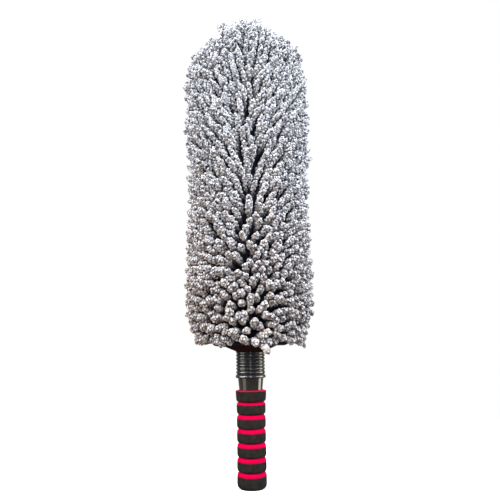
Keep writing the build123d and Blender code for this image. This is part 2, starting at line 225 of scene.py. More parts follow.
def foam(name, deep, light, pore, shine):
    """Closed-cell foam: fine open pores, with painted shade in them, on a slightly mottled skin."""
    n = Nodes(name)
    pores = n.cells(pore)
    fine = n.noise(0.5 * pore, 3.0, 0.7)
    mottle = n.noise(6 * MM, 2.0)
    skin = n.blend(n.spread(mottle, 0.35, 0.65), deep, light)
    # painted shade inside the pores
    dark = tuple(0.45 * channel for channel in deep)
    n.colour(n.blend(n.spread(pores, 0.05, 0.30), dark, skin))
    n.roughness(n.spread(fine, 0.3, 0.7, 0.78, 0.95))
    n.set(Specular_IOR_Level=shine)
    n.bump(n.maths("ADD", n.spread(pores, 0.0, 0.5), n.maths("MULTIPLY", fine, 0.6)), 0.15 * MM, 0.9)
    return n.material


def glossy_plastic(name, tint, rough):
    """Black moulding: near-mirror skin, faint ripple and fine handling scratches."""
    n = Nodes(name)
    ripple = n.noise(5 * MM, 2.0)
    scratch = n.noise(0.9 * MM, 4.0, 0.7, n.stretched((1.0, 1.0, 0.06)))
    n.colour(n.blend(n.spread(n.noise(14 * MM), 0.3, 0.7), tint, tuple(1.5 * c for c in tint)))
    n.roughness(n.spread(scratch, 0.35, 0.75, rough, rough + 0.10))
    n.set(Specular_IOR_Level=0.62)
    n.bump(n.maths("ADD", ripple, n.maths("MULTIPLY", scratch, 0.05)), 0.02 * MM, 0.4)
    return n.material


def matt_plastic(name, low, high, rough):
    """Moulded plastic with a spark-eroded grain."""
    n = Nodes(name)
    n.colour(n.blend(n.spread(n.noise(8 * MM), 0.3, 0.7), low, high))
    n.roughness(n.spread(n.noise(2 * MM), 0.3, 0.7, rough - 0.08, rough + 0.08))
    n.bump(n.noise(0.5 * MM), 0.04 * MM, 0.7)
    return n.material


def drawn_steel(name, rough):
    """Drawn steel with fine lengthwise lines."""
    n = Nodes(name)
    lines = n.noise(0.4 * MM, 4.0, 0.7, n.stretched((1.0, 1.0, 0.02)))
    n.colour(n.blend(n.spread(n.noise(20 * MM), 0.3, 0.7), (0.60, 0.60, 0.61), (0.72, 0.72, 0.73)))
    n.roughness(n.spread(lines, 0.3, 0.7, rough, rough + 0.16))
    n.set(Metallic=1.0, Anisotropic=0.4)
    n.bump(lines, 0.01 * MM, 0.4)
    return n.material


def rubber():
    """Matt black rubber with a dusty bloom."""
    n = Nodes("seal_rubber")
    n.colour(n.blend(n.spread(n.noise(3 * MM), 0.4, 0.8), (0.012, 0.012, 0.012), (0.05, 0.05, 0.048)))
    n.roughness(n.spread(n.noise(1 * MM), 0.3, 0.7, 0.6, 0.8))
    n.bump(n.noise(0.4 * MM), 0.03 * MM, 0.6)
    return n.material


def sponge():
    """Open-cell grey sponge, with painted shade in its pores."""
    n = Nodes("pad_sponge")
    pores = n.cells(1.6 * MM)
    # painted shade in the pores
    n.colour(n.blend(n.spread(pores, 0.1, 0.5), (0.05, 0.052, 0.06), (0.16, 0.165, 0.18)))
    n.set(Roughness=0.95)
    n.bump(pores, 0.8 * MM, 1.0)
    return n.material


# ---- mesh helpers ------------------------------------------------------------------------------------
CORNER_CUT = 0.22  # the share of each side that rounding takes off at each end


def piece(name, points, faces, material, body):
    """A smooth mesh object from points and faces, riding on a body."""
    mesh = bpy.data.meshes.new(name)
    mesh.from_pydata(points, [], faces)
    mesh.materials.append(material)
    mesh.shade_smooth()
    made = bpy.data.objects.new(name, mesh)
    bpy.context.scene.collection.objects.link(made)
    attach(made, body)
    return made


def thicken(cloth, thickness, side):
    """Gives a sheet its thickness: inward where side is -1, outward where it is 1."""
    shell = cloth.modifiers.new("thickness", "SOLIDIFY")
    shell.thickness = thickness
    shell.offset = side


def rounded(corners, cuts):
    """Cuts every corner of a closed outline this many times, which rounds it off."""
    points = np.asarray(corners, float)
    for _ in range(cuts):
        ahead = np.roll(points, -1, axis=0)
        near = (1 - CORNER_CUT) * points + CORNER_CUT * ahead
        far = CORNER_CUT * points + (1 - CORNER_CUT) * ahead
        points = np.stack([near, far], axis=1).reshape(-1, 2)
    return points


def divided(corners, step):
    """Adds points along the sides of a closed outline so that none is longer than step."""
    points = []
    for start, end in zip(corners, np.roll(corners, -1, axis=0)):
        count = max(1, math.ceil(np.linalg.norm(end - start) / step))
        points += [start + (end - start) * k / count for k in range(count)]
    return np.array(points)


def all_round(count):
    """Angles evenly spaced round a full turn."""
    return np.linspace(0, 2 * math.pi, count, endpoint=False)


def ring(reach, angles, height, squash=1.0):
    """Points round Z at these angles, this far out and this high, flattened along Y by squash."""
    heights = np.broadcast_to(height, angles.shape)
    return np.stack([reach * np.cos(angles), squash * reach * np.sin(angles), heights], axis=1)


def ring_faces(rings, around, closed):
    """Quads between rings of points, joined back to the first ring if closed."""
    faces = []
    for row in range(rings if closed else rings - 1):
        here = row * around
        above = (row + 1) % rings * around
        for k in range(around):
            after = (k + 1) % around
            faces.append((here + k, here + after, above + after, above + k))
    return faces


def lathe(outline, around, ripple):
    """A ring-shaped solid: the closed (radius, height) outline turned about Z, with its radius rippled."""
    angles = all_round(around)
    points = [ring(radius + ripple(angles, height), angles, height) for radius, height in outline]
    return np.concatenate(points), ring_faces(len(outline), around, True)


def unit(vectors):
    """The rows of vectors, each at length 1."""
    return vectors / np.linalg.norm(vectors, axis=1, keepdims=True).clip(1e-12)


# ---- grip --------------------------------------------------------------------------------------------
GRIP_AROUND = 160
FOAM_SEAT = 15.3 * MM  # radius where the bands sit on the red foam
CORE_RADIUS = 12.5 * MM
NECK_START = 92 * MM  # where the core starts to widen, inside the foam
NECK_FOOT = 14.3 * MM  # the core's radius where it leaves the foam
BOTTOM_ROUND = (2.6 * MM, 2.8 * MM)  # depth and height of the rounded lower edge, on the lowest band
BAND_ROUND = (1.8 * MM, 1.5 * MM)  # and on the others
TOP_BAND_SPREAD = 0.6 * MM  # how much wider the top band is at its top
BAND_EDGE = 0.4 * MM  # the small bevel of a band's upper edge
LIP = 1.2 * MM  # how much lower a band's top is where it meets the red foam
GROOVE_SHOULDER = 0.40  # where the red foam starts to fall away, as a share of the groove's width
GROOVE_LOWEST = 0.82  # and where the groove is deepest
GROOVE_ROOT = 16.0 * MM  # the red foam's radius there
RIPPLES = ((2, 90, 1.0), (3, -160, 0.6), (9, 500, 0.3), (17, 0, 0.2))  # waves round, waves up, share


def soft_ripple(seed, depth):
    """Slow uneven swelling of a foam part, different for each seed."""
    rng = np.random.default_rng(seed)
    phases = rng.uniform(0, 2 * math.pi, len(RIPPLES))

    def ripple(angles, height):
        swell = 0
        for (turns, climb, share), phase in zip(RIPPLES, phases):
            swell = swell + share * np.sin(turns * angles + phase + climb * height)
        return depth * swell / 2

    return ripple


def foam_bands(material):
    """The seven black bands, each a soft ring with a rounded lower edge and a pinched upper edge."""
    for index, name in enumerate(BAND_NAMES):
        low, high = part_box(name)
        radius = high[0]
        foot = radius if index < len(BAND_NAMES) - 1 else radius - TOP_BAND_SPREAD
        toe, rise = BOTTOM_ROUND if index == 0 else BAND_ROUND
        corners = [
            (FOAM_SEAT, low[2]),
            (foot - toe, low[2]),
            (foot, low[2] + rise),
            (radius, high[2] - 0.5 * MM),
            (radius - BAND_EDGE, high[2]),
            (FOAM_SEAT, high[2] - LIP),
        ]
        outline = divided(rounded(corners, 2), 0.7 * MM)
        points, faces = lathe(outline, GRIP_AROUND, soft_ripple(index + 1, 0.10 * MM))
        band = piece(f"foam_{name}", points, faces, material, "handle")
        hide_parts(name)


def foam_core(material):
    """The red foam under the bands, bulging out between them, with a bevelled rim at the top."""
    corners = [(CORE_RADIUS, 0.2 * MM), (FOAM_SEAT, 0.2 * MM)]
    for index, name in enumerate(BAND_NAMES):
        low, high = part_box(name)
        if index:
            corners.append((FOAM_SEAT, low[2] + 0.3 * MM))
        corners.append((FOAM_SEAT, high[2] - 1.5 * MM))
        corners.append((high[0] - 0.2 * MM, high[2] - 0.1 * MM))
        if index < len(BAND_NAMES) - 1:
            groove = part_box(BAND_NAMES[index + 1])[0][2] - high[2]
            corners.append((high[0] - BAND_EDGE, high[2] + GROOVE_SHOULDER * groove))
            corners.append((GROOVE_ROOT, high[2] + GROOVE_LOWEST * groove))
    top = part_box("grip_red_foam")[1][2]
    corners += [(NECK_FOOT + 0.5 * MM, top), (NECK_FOOT, top - 1.0 * MM), (CORE_RADIUS, NECK_START)]
    outline = divided(rounded(corners, 1), 0.9 * MM)
    points, faces = lathe(outline, GRIP_AROUND, soft_ripple(20, 0.04 * MM))
    core = piece("foam_red_core", points, faces, material, "handle")
    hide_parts("grip_red_foam")


# ---- the sleeve under the tufts ----------------------------------------------------------------------
SLEEVE_AROUND = 120
SLEEVE_ROWS = 46  # rows up the straight part
SLEEVE_CREASE = 0.35 * MM
MOUTH_AROUND = 240
MOUTH_ROWS = 22
MOUTH_HEM = 17.1 * MM  # radius of the cloth's neck, above the collar
MOUTH_THICKNESS = 0.9 * MM
SPONGE_GRID = 3 * MM


def sleeve_outline():
    """(radius across X, height) along the sleeve, from its flat bottom to the dome's top."""
    rows = []
    flat = SLEEVE_HALF_WIDTH - SLEEVE_CORNER
    for a in np.radians(np.linspace(-90, 0, 6)):
        rows.append((flat + SLEEVE_CORNER * math.cos(a), SLEEVE_BOTTOM + SLEEVE_CORNER * (1 + math.sin(a))))
    start = SLEEVE_BOTTOM + SLEEVE_CORNER
    end = SLEEVE_TOP - SLEEVE_DOME
    rows += [(SLEEVE_HALF_WIDTH, start + (end - start) * k / SLEEVE_ROWS) for k in range(1, SLEEVE_ROWS)]
    for a in np.radians(np.linspace(0, 90, 14)):
        rows.append((max(SLEEVE_HALF_WIDTH * math.cos(a), 0.5 * MM), end + SLEEVE_DOME * math.sin(a)))
    return rows


def sleeve_cloth(material):
    """The backing fabric, stretched over the pads, with shallow creases."""
    squeeze = SLEEVE_HALF_DEPTH / SLEEVE_HALF_WIDTH
    angles = all_round(SLEEVE_AROUND)
    points = []
    rows = [(MOUTH_RADIUS, SLEEVE_BOTTOM, 1.0)] + [(r, z, squeeze) for r, z in sleeve_outline()]
    for radius, height, squash in rows:
        crease = SLEEVE_CREASE * np.sin(7 * angles + 60 * height) * np.sin(11 * angles - 35 * height)
        reach = radius + crease * min(1.0, radius / MOUTH_RADIUS)
        points.append(ring(reach, angles, height, squash))
    faces = ring_faces(len(rows), SLEEVE_AROUND, False)
    faces.append(tuple((len(rows) - 1) * SLEEVE_AROUND + k for k in range(SLEEVE_AROUND)))
    cloth = piece("sleeve_backing", np.concatenate(points), faces, material, "head")
    thicken(cloth, SLEEVE_THICKNESS, -1.0)
    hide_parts("tuft_sleeve")


def mouth_cloth(material):
    """The gathered cloth cone between the collar and the tufts, pleated where it widens."""
    low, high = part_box("mouth_cone")
    angles = all_round(MOUTH_AROUND)
    pleats = (0.9 * np.sin(17 * angles) + 0.5 * np.sin(29 * angles + 1.3)) * MM
    points = []
    for t in np.linspace(0, 1, MOUTH_ROWS):
        radius = MOUTH_HEM + (high[0] - MOUTH_HEM) * t
        height = low[2] + 0.3 * MM + (high[2] - low[2] - 1.6 * MM) * t**0.9
        pleat = pleats * math.sin(math.pi * min(1, 0.15 + t))
        points.append(ring(radius + 0.4 * pleat, angles, height + 0.7 * pleat * t))
    faces = ring_faces(MOUTH_ROWS, MOUTH_AROUND, False)
    cone = piece("mouth_gather", np.concatenate(points), faces, material, "head")
    thicken(cone, MOUTH_THICKNESS, 1.0)
    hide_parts("mouth_cone")


def sponge_pads(material):
    """The two sponge halves, softened from their cut shape."""
    for side in ("front", "back"):
        name = f"foam_pad_{side}"
        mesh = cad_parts[name].data.copy()
        mesh.materials.clear()
        mesh.materials.append(material)
        pad = bpy.data.objects.new(f"sponge_{side}", mesh)
        bpy.context.scene.collection.objects.link(pad)
        grid = pad.modifiers.new("grid", "REMESH")
        grid.mode = "VOXEL"
        grid.voxel_size = SPONGE_GRID
        soft = pad.modifiers.new("soft", "SMOOTH")
        soft.factor = 0.5
        soft.iterations = 3
        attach(pad, "head")
        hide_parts(name)


# ---- one tuft ----------------------------------------------------------------------------------------
TUFT_KINDS = 18
TUFT_LENGTH = 45 * MM  # from inside the sleeve to the tip
TUFT_TRIANGLES = 1480
STEM_RADIUS = 2.2 * MM
STEM_STEP = 1.5 * MM
KNOBS_FROM = 0.2  # the lowest knob, as a share of the tuft's length
KNOB_RADIUS = 2.15 * MM
KNOB_REACH = 2.5 * MM  # from the stem's axis to the middle of a knob
KNOB_STEP = 3.5 * MM
KNOBS_ROUND = 3
TIP_REACH = 1.7 * MM  # the same for the last knobs round the tip
CREASE_WIDTH = 1.3 * MM
ROOT_DEPTH = 2 * MM
VOXEL = 0.42 * MM


def knob_at(angle, reach, z, radius):
    """One knob, this far out from the stem's axis."""
    return reach * math.cos(angle), reach * math.sin(angle), z, radius


def tuft_balls(rng, length):
    """The balls that make one tuft along +Z, as (x, y, z, radius): the stem's, then the knobs'."""
    stem = []
    for z in np.arange(0, length - 4 * MM, STEM_STEP):
        stem.append((0.0, 0.0, z, STEM_RADIUS * (0.75 + 0.25 * z / length)))
    knobs = []
    spin = rng.uniform(0, 2 * math.pi)
    for z in np.arange(KNOBS_FROM * length, length - 4.4 * MM, KNOB_STEP):
        grown = min(1.0, 0.5 + 1.1 * (z / length - KNOBS_FROM))
        spin += math.pi / KNOBS_ROUND + rng.normal(0, 0.2)
        for k in range(KNOBS_ROUND):
            angle = spin + 2 * math.pi * k / KNOBS_ROUND + rng.normal(0, 0.22)
            reach = KNOB_REACH * grown * rng.uniform(0.8, 1.18)
            radius = KNOB_RADIUS * grown * rng.uniform(0.78, 1.14)
            knobs.append(knob_at(angle, reach, z + rng.normal(0, 0.6 * MM), radius))
    for k in range(KNOBS_ROUND):
        angle = spin + 2 * math.pi * k / KNOBS_ROUND + rng.normal(0, 0.2)
        reach = TIP_REACH * rng.uniform(0.85, 1.15)
        knobs.append(knob_at(angle, reach, length - 3.4 * MM, 0.9 * KNOB_RADIUS))
    knobs.append((*rng.normal(0, 0.4 * MM, 2), length - 0.8 * KNOB_RADIUS, 0.8 * KNOB_RADIUS))
    return np.array(stem), np.array(knobs)


def joined_balls(balls):
    """One closed skin round overlapping balls, thinned to a tuft's share of triangles."""
    work = bmesh.new()
    for x, y, z, radius in balls:
        place = Matrix.Translation((x, y, z))
        bmesh.ops.create_icosphere(work, subdivisions=2, radius=radius, matrix=place)
    mesh = bpy.data.meshes.new("balls")
    work.to_mesh(mesh)
    work.free()
    lump = bpy.data.objects.new("balls", mesh)
    bpy.context.scene.collection.objects.link(lump)
    skin = lump.modifiers.new("skin", "REMESH")
    skin.mode = "VOXEL"
    skin.voxel_size = VOXEL
    depsgraph = bpy.context.evaluated_depsgraph_get()
    faces = len(lump.evaluated_get(depsgraph).data.polygons)
    thin = lump.modifiers.new("thin", "DECIMATE")
    thin.ratio = TUFT_TRIANGLES / (2 * faces)
    depsgraph = bpy.context.evaluated_depsgraph_get()
    made = lump.evaluated_get(depsgraph).to_mesh()
    made.calc_loop_triangles()
    points = np.empty(3 * len(made.vertices))
    made.vertices.foreach_get("co", points)
    triangles = np.empty(3 * len(made.loop_triangles), int)
    made.loop_triangles.foreach_get("vertices", triangles)
    lump.evaluated_get(depsgraph).to_mesh_clear()
    bpy.data.objects.remove(lump)
    bpy.data.meshes.remove(mesh)
    return points.reshape(-1, 3), triangles.reshape(-1, 3)


def point_normals(points, triangles):
    """The outward direction at each point of a closed mesh."""
    a, b, c = (points[triangles[:, k]] for k in range(3))
    flat = np.cross(b - a, c - a)
    normals = np.zeros_like(points)
    for k in range(3):
        np.add.at(normals, triangles[:, k], flat)
    return unit(normals)


def tuft_kind(seed):
    """One knobbly chenille finger along +Z, its middle line, and at each point three values for its colour.

    They are how far out of a crease the point is, how far along the tuft, and the tone of its knob; the
    first two set the painted shade in the creases and towards the root.
    """
    rng = np.random.default_rng(seed)
    length = TUFT_LENGTH * rng.uniform(0.93, 1.04)
    stem, knobs = tuft_balls(rng, length)
    points, triangles = joined_balls(np.concatenate([stem, knobs]))
    gaps = np.linalg.norm(points[:, None] - knobs[None, :, :3], axis=2) - knobs[None, :, 3]
    nearest = np.argsort(gaps, axis=1)
    second = np.take_along_axis(gaps, nearest, axis=1)[:, 1]
    knob = np.clip(second / CREASE_WIDTH, 0, 1)
    tone = rng.uniform(0, 1, len(knobs))[nearest[:, 0]]
    along = np.clip(points[:, 2] / length, 0, 1)
    bend = rng.uniform(0.5, 6.0) * MM
    wave = rng.uniform(0.3, 1.2) * MM
    turn = rng.uniform(0, 2 * math.pi)

    def bent(shape, share):
        aside = bend * share + wave * np.sin(7 * share + turn)
        across = wave * np.cos(6 * share + turn)
        return shape + np.stack([aside * share, across * share, 0 * share], axis=1)

    points = bent(points, along)
    share = np.linspace(0, 0.92, 28)
    line = bent(np.stack([0 * share, 0 * share, share * length], axis=1), share)
    return {
        "points": points,
        "triangles": triangles,
        "normals": point_normals(points, triangles),
        "shade": np.stack([knob, along, tone], axis=1),
        "line": line,
    }


# ---- where the tufts stand, and how they lean --------------------------------------------------------
COLUMNS = 52  # tufts in one row's worth, round the sleeve
ROW_PITCH = 9.6 * MM  # height that one row's worth takes up
DOME_RINGS = 8
DOME_CUT_LEFT = 0.38  # how much shorter the dome's side tufts are than its middle ones
DOME_CUT_RIGHT = 0.16
HEM_COUNT = 44
COMBED_UP = 0.80  # rise for each unit outward, at the sides
COMBED_UP_FRONT = 1.02  # and at the front and back, high on the head
COMBED_OUT_FRONT = 0.38  # low on the head
COMB_RISE = 70 * MM  # over about this height above the hem, the comb grows from level to full
HEM_FADE = 34 * MM  # over about this height above the hem, tufts grow to their full length
SEAM_LEAN = 0.46
SEAM_WIDTH = 8 * MM  # across which tufts change from leaning left to leaning right
SEAM_REACH = 30 * MM  # how far from the seam they still lean
SHARED_LEAN = 0.038
SHARED_TURNS = 95  # how quickly the shared lean changes over the head, in radians a metre
OWN_LEAN = 0.055  # how far each tuft leans at random
EVEN_STEPS = np.array([0.7548776662, 0.5698402910])  # one over the plastic number, and one over its square


def oval_point(angle, out=0.0):
    """A point on the sleeve's oval at this angle from +X, moved out along its normal, and that normal."""
    c, s = math.cos(angle), math.sin(angle)
    normal = np.array([SLEEVE_HALF_DEPTH * c, SLEEVE_HALF_WIDTH * s])
    normal /= np.linalg.norm(normal)
    return np.array([SLEEVE_HALF_WIDTH * c, SLEEVE_HALF_DEPTH * s]) + out * normal, normal


def oval_angles(shares):
    """The angles at these shares of the way round the oval, measured along a line partway to the tips."""
    fine = np.linspace(0, 2 * math.pi, 721)
    line = np.array([oval_point(a, 20 * MM)[0] for a in fine])
    run = np.concatenate([[0], np.cumsum(np.linalg.norm(np.diff(line, axis=0), axis=1))])
    return np.interp(np.asarray(shares) * run[-1], run, fine)


def even_spread(count):
    """Points in the unit square that stand evenly apart but in no rows."""
    return (0.5 + np.arange(count)[:, None] * EVEN_STEPS) % 1.0


def fullness(height):
    """A tuft's length against the longest: full near the top, slimmer in the middle, short at the hem."""
    slim = np.interp(height, [0.36, 0.45, 0.515, 0.545], [0.88, 1.06, 1.06, 0.94])
    hem = 1 - 0.42 * math.exp(-(((height - SLEEVE_BOTTOM) / HEM_FADE) ** 1.4))
    return slim * hem


def comb(height, facing):
    """How much tufts rise for each unit they reach outward, by height and how far they face sideways."""
    rises = [COMBED_OUT_FRONT, COMBED_UP_FRONT, 0.8 * COMBED_UP_FRONT]
    front = np.interp(height, [0.21, 0.45, 0.56], rises)
    return front + (COMBED_UP - front) * facing


class Lean:
    """A slow sideways lean that neighbouring tufts share, so that they clump and leave gaps."""

    def __init__(self, rng):
        self.waves = rng.normal(0, SHARED_TURNS, (3, 3, 3))
        self.phases = rng.uniform(0, 2 * math.pi, (3, 3))

    def at(self, base):
        return SHARED_LEAN * np.sin(self.waves @ base + self.phases).sum(axis=0)


def parted(base, direction):
    """Leans a tuft away from the wandering seam down the front and back, most at mid-height."""
    away = base[0] - 3 * MM * math.sin(41 * base[2]) - 1.5 * MM * math.sin(97 * base[2])
    fall = math.tanh(away / SEAM_WIDTH) * math.exp(-((away / SEAM_REACH) ** 2))
    strength = np.interp(base[2], [0.20, 0.36, 0.45, 0.54], [0.15, 1.0, 0.8, 0.15])
    return direction + np.array([SEAM_LEAN * fall * strength, 0, 0])


def side_tufts(rng, lean):
    """Tufts spread over the straight part of the sleeve, each as its start, direction and size."""
    made = []
    low = SLEEVE_BOTTOM + 10 * MM
    high = SLEEVE_TOP - SLEEVE_DOME
    places = even_spread(round(COLUMNS * (high - low) / ROW_PITCH))
    for angle, height in zip(oval_angles(places[:, 0]), low + (high - low) * places[:, 1]):
        flat, normal = oval_point(angle + rng.normal(0, 0.016))
        base = np.array([flat[0], flat[1], height + rng.normal(0, 0.8 * MM)])
        facing = abs(normal[0]) ** 1.3
        rise = 1 - math.exp(-(height - low) / COMB_RISE)
        lift = comb(height, facing) * rise - 0.03
        direction = np.array([normal[0], normal[1], lift])
        wander = lean.at(base) + rng.normal(0, OWN_LEAN, 3)
        wander[2] *= 0.3 + 0.7 * rise
        made.append((base, parted(base, direction + wander), rng.uniform(0.92, 1.06) * fullness(height)))
    return made


def dome_tufts(rng, lean):
    """Tufts over the domed top, in rings that shrink towards the middle."""
    made = []
    centre = SLEEVE_TOP - SLEEVE_DOME
    for level in range(DOME_RINGS):
        rise = (level + 0.75) / DOME_RINGS * math.pi / 2
        count = max(3, round(COLUMNS * math.cos(rise) * 1.02))
        for angle in oval_angles((np.arange(count) + rng.uniform()) / count % 1.0):
            tilt = rise + rng.normal(0, 0.03)
            flat, normal = oval_point(angle + rng.normal(0, 0.03))
            base = np.array([*(flat * math.cos(tilt)), centre + SLEEVE_DOME * math.sin(tilt)])
            lift = math.sin(tilt) + comb(base[2], abs(normal[0])) * math.cos(tilt) ** 2
            direction = np.array([*(normal * math.cos(tilt)), lift])
            cut = DOME_CUT_RIGHT if normal[0] > 0 else DOME_CUT_LEFT
            size = rng.uniform(0.90, 1.0) * (1 - (0.12 + cut * abs(normal[0])) * math.sin(2 * rise))
            wander = lean.at(base) + rng.normal(0, OWN_LEAN, 3)
            made.append((base, parted(base, direction + wander), size))
    made.append((np.array([0.0, 0.0, SLEEVE_TOP]), np.array([0.1, -0.1, 1.0]), 0.80))
    return made


def hem_tufts(rng):
    """A last, shorter row over the sleeve's lower edge, and three at the front. One droops by the collar."""
    made = []
    for angle in oval_angles((np.arange(HEM_COUNT) + 0.5) / HEM_COUNT):
        flat, normal = oval_point(angle + rng.normal(0, 0.03), -2 * MM)
        base = np.array([flat[0], flat[1], SLEEVE_BOTTOM + 7.5 * MM])
        direction = np.array([normal[0], normal[1], -0.05]) + rng.normal(0, 0.06, 3) * np.array([1, 1, 0.5])
        made.append((base, direction, rng.uniform(0.50, 0.66)))
    front = (
        (9, (0.30, -0.95, -0.46), 0.90),
        (-7, (-0.15, -1.0, -0.16), 0.74),
        (1, (0.05, -1.0, -0.10), 0.70),
    )
    for x, direction, size in front:
        made.append((np.array([x * MM, -36 * MM, SLEEVE_BOTTOM + 8 * MM]), np.array(direction), size))
    return made


def stray_tufts():
    """A few tufts that stand proud at the sides, and small clumps of them at the top."""
    made = []
    proud = (
        (40, -8, SLEEVE_TOP - 24 * MM, (1.0, -0.1, 0.75), 1.02),
        (49, -6, SLEEVE_TOP - 190 * MM, (1.0, -0.1, 0.45), 1.02),
        (40, -20, SLEEVE_BOTTOM + 14 * MM, (1.0, -0.35, -0.18), 0.72),
        (-42, -18, SLEEVE_BOTTOM + 12 * MM, (-1.0, -0.3, -0.22), 0.66),
    )
    for x, y, height, direction, size in proud:
        made.append((np.array([x * MM, y * MM, height]), np.array(direction), size))
    clumps = ((-22, 7, -0.20), (-6, 3, -0.04), (10, 4, 0.15))  # x, drop below the top, lean
    members = ((0, 0, 1.12), (-5, 1.5, 1.0), (5, 1.0, 0.96), (1, 2.0, 1.02))  # aside, drop, size
    for x, below, lean in clumps:
        for k, (aside, drop, size) in enumerate(members):
            base = np.array([(x + aside) * MM, (-8 - 4 * (k % 2)) * MM, SLEEVE_TOP - (below + drop) * MM])
            made.append((base, np.array([lean + 0.016 * aside, -0.20, 1.0]), size))
    return made


def turned_to(direction, spin):
    """The turn that stands +Z along direction, after a spin about itself."""
    z = direction / np.linalg.norm(direction)
    side = np.cross(z, [0.0, 1.0, 0.0] if abs(z[1]) < 0.9 else [1.0, 0.0, 0.0])
    side /= np.linalg.norm(side)
    other = np.cross(z, side)
    c, s = math.cos(spin), math.sin(spin)
    return np.stack([c * side + s * other, -s * side + c * other, z], axis=1)


# ---- the whole pile ----------------------------------------------------------------------------------
STRIPS_A_SIDE = 9
FOOT_LOW = 0.20  # between these heights the head's thicker foot, with painted shade deeper in its creases and at its roots, fades out
FOOT_HIGH = 0.40
FOOT_THICKER = 0.12
# how much the painted shade in the foot's creases and at its roots is deepened
FOOT_PAINTED_SHADE = 0.11
TUFT_TONE = 0.62  # a point's tone is this share its tuft's and the rest its knob's


class Crowding:
    """Which small cubes of space round the head are filled by tufts, for painting shade where tufts close
    each other in.
    """

    CELL = 1.5 * MM
    REACH = 3.6 * MM  # radius of a tuft's body, without its knobs
    MARGIN = 40 * MM
    STEPS = ((2.0, 0.40), (4.0, 0.30), (6.5, 0.20), (10.0, 0.10))  # millimetres ahead, share

    def __init__(self, lines):
        self.origin = np.array([PILE_LOW[0], -PILE_HALF_DEPTH, PILE_LOW[2]]) - self.MARGIN
        half = np.array([PILE_HALF_WIDTH, PILE_HALF_DEPTH, (PILE_TOP - PILE_LOW[2]) / 2]) + self.MARGIN
        self.filled = np.zeros(np.ceil(2 * half / self.CELL).astype(int), bool)
        span = np.arange(-3, 4)
        ball = np.stack(np.meshgrid(span, span, span), axis=-1).reshape(-1, 3)
        ball = ball[np.linalg.norm(ball, axis=1) * self.CELL <= self.REACH]
        centres = self.cell(np.concatenate(lines))
        for step in ball:
            self.filled[tuple((centres + step).T)] = True

    def cell(self, points):
        cells = ((points - self.origin) / self.CELL).astype(int)
        return np.clip(cells, 4, np.array(self.filled.shape) - 5)

    def hidden(self, points, normals):
        """How much of what each point faces, close by, is other tufts: 0 open, 1 shut in. The tufts' colour
        paints shade by it.
        """
        shut = 0
        for ahead, share in self.STEPS:
            shut = shut + share * self.filled[tuple(self.cell(points + ahead * MM * normals).T)]
        return shut


def placed_tufts(rng):
    """Every tuft on the head: its kind, the turn and scale that place it, and where it starts."""
    lean = Lean(rng)
    planned = side_tufts(rng, lean) + dome_tufts(rng, lean) + hem_tufts(rng) + stray_tufts()
    made = []
    for base, direction, size in planned:
        low = np.interp(base[2], [FOOT_LOW, FOOT_HIGH], [1, 0])
        thick = rng.uniform(0.84, 1.02) + FOOT_THICKER * low
        turn = turned_to(direction, rng.uniform(0, 2 * math.pi))
        axis = direction / np.linalg.norm(direction)
        made.append(
            {
                "kind": rng.integers(TUFT_KINDS),
                "turn": np.diag([thick, thick, size]) @ turn.T,
                "start": base - axis * ROOT_DEPTH,
                "tone": rng.uniform(0, 1),
                "low": low,
                "base": base,
            }
        )
    return made


def strip_mesh(name, tufts, kinds, crowding):
    """One mesh of many tufts, whose points store crease, place along, tone and openness as a colour; the
    material paints shade from crease, place along and openness.
    """
    points, colours, triangles = [], [], []
    start = 0
    for tuft in tufts:
        kind = kinds[tuft["kind"]]
        shape = kind["points"] @ tuft["turn"] + tuft["start"]
        hidden = crowding.hidden(shape, unit(kind["normals"] @ tuft["turn"]))
        knob, along, tone = kind["shade"].T
        # painted shade: creases and roots darker low on the head
        painted_foot_shade = FOOT_PAINTED_SHADE * tuft["low"]
        mixed = TUFT_TONE * tuft["tone"] + (1 - TUFT_TONE) * tone
        points.append(shape)
        colours.append(np.stack([knob - painted_foot_shade, along - painted_foot_shade, mixed, 1 - hidden], axis=1))
        triangles.append(kind["triangles"] + start)
        start += len(shape)
    points = np.concatenate(points).astype(np.float32)
    corners = np.concatenate(triangles).ravel().astype(np.int32)
    mesh = bpy.data.meshes.new(name)
    mesh.vertices.add(len(points))
    mesh.vertices.foreach_set("co", points.ravel())
    mesh.loops.add(len(corners))
    mesh.loops.foreach_set("vertex_index", corners)
    mesh.polygons.add(len(corners) // 3)
    mesh.polygons.foreach_set("loop_start", np.arange(0, len(corners), 3, dtype=np.int32))
    mesh.update(calc_edges=True)
    stored = mesh.color_attributes.new("tuft", "FLOAT_COLOR", "POINT")
    stored.data.foreach_set("color", np.concatenate(colours).astype(np.float32).ravel())
    mesh.shade_smooth()
    return mesh


def tuft_panels(material):
    """All the tufts, merged into strips up each half of the head, each riding on the head."""
    rng = np.random.default_rng(7)
    kinds = [tuft_kind(100 + k) for k in range(TUFT_KINDS)]
    placed = placed_tufts(rng)
    crowding = Crowding([kinds[tuft["kind"]]["line"] @ tuft["turn"] + tuft["start"] for tuft in placed])
    for side, sign in (("left", -1.0), ("right", 1.0)):
        mine = [tuft for tuft in placed if (tuft["base"][0] < 0) == (sign < 0)]
        mine.sort(key=lambda tuft: math.atan2(tuft["base"][1], sign * tuft["base"][0]))
        share = math.ceil(len(mine) / STRIPS_A_SIDE)
        for strip in range(STRIPS_A_SIDE):
            chosen = mine[strip * share : (strip + 1) * share]
            mesh = strip_mesh(f"tufts_{side}_{strip + 1}", chosen, kinds, crowding)
            mesh.materials.append(material)
            made = bpy.data.objects.new(mesh.name, mesh)
            bpy.context.scene.collection.objects.link(made)
            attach(made, "head")
            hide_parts(f"tuft_pile_{side}")


# ---- materials on the CAD nodes ----------------------------------------------------------------------
def dress(material, *names):
    """Gives CAD nodes a material."""
    for name in names:
        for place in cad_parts[name].material_slots:
            place.material = material


